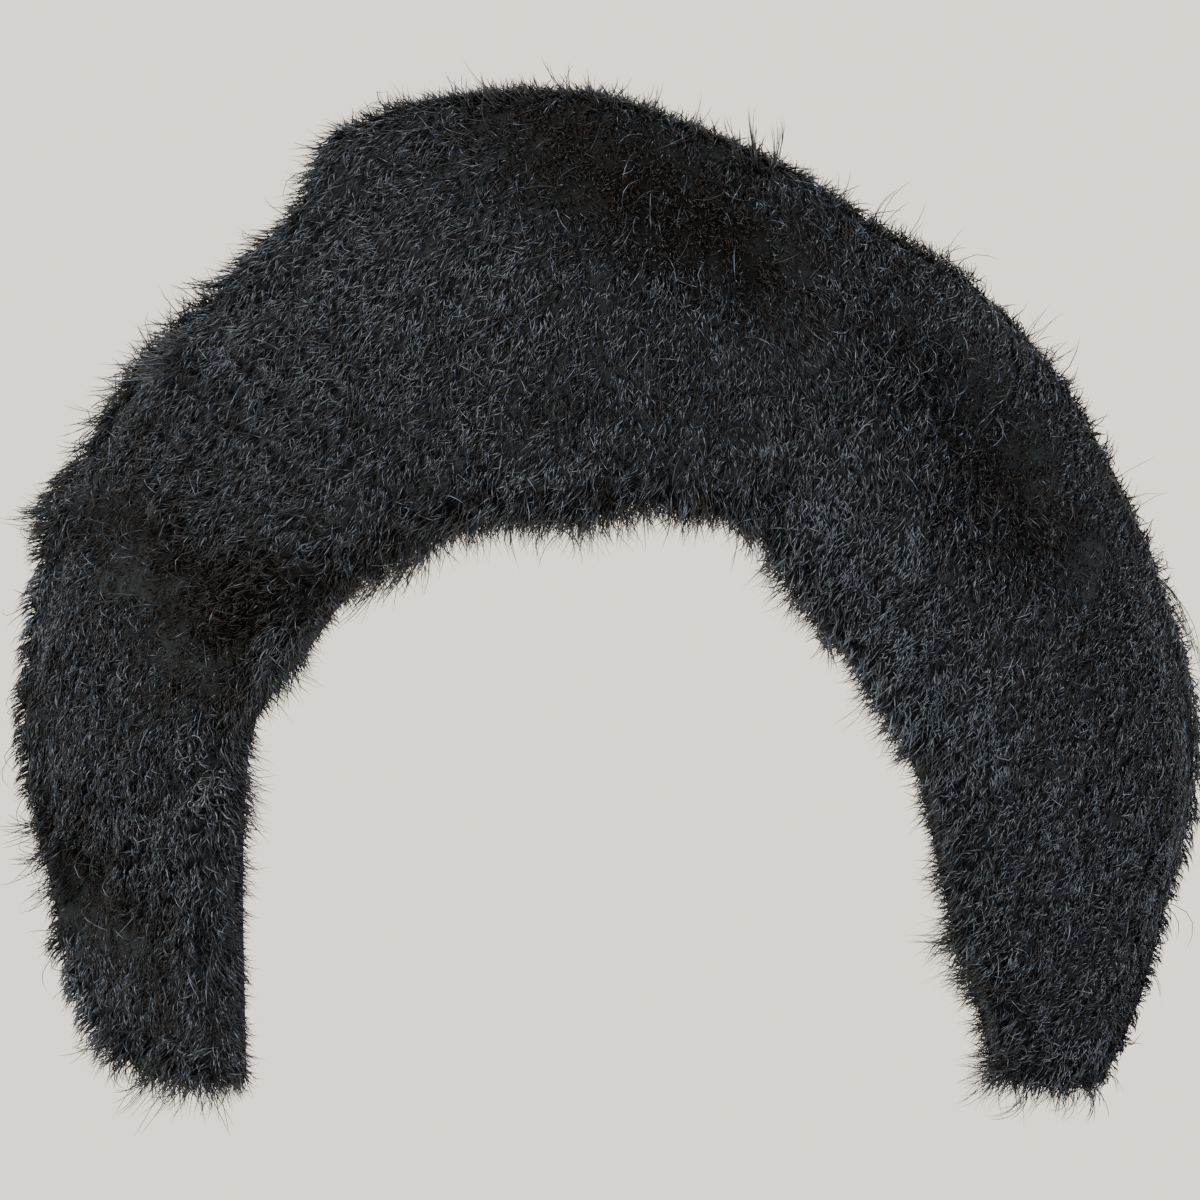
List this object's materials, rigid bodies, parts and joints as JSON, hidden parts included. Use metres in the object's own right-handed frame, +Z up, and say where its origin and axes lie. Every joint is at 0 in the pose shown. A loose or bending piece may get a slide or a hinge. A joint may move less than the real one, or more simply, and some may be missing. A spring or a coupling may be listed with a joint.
{
  "type": "fake moustache",
  "caption": "Black horseshoe false moustache: dense short combed synthetic hair on a knitted net backing, in its worn form",
  "frame": {"origin": "on the back of the net backing at the middle of the lip band, where it sits on the upper lip", "axes": "+Y from the front of the hair towards the face, +X to the right as seen from the front, +Z up as worn"},
  "size_m": [0.1049, 0.0401, 0.0881],
  "materials": {
    "knitted_net": "matte black knitted net",
    "false_hair": "short black synthetic hair with a soft cool sheen"
  },
  "bodies": {
    "root": {"net_backing": "knitted_net", "hair_pile": "false_hair"}
  },
  "joints": []
}
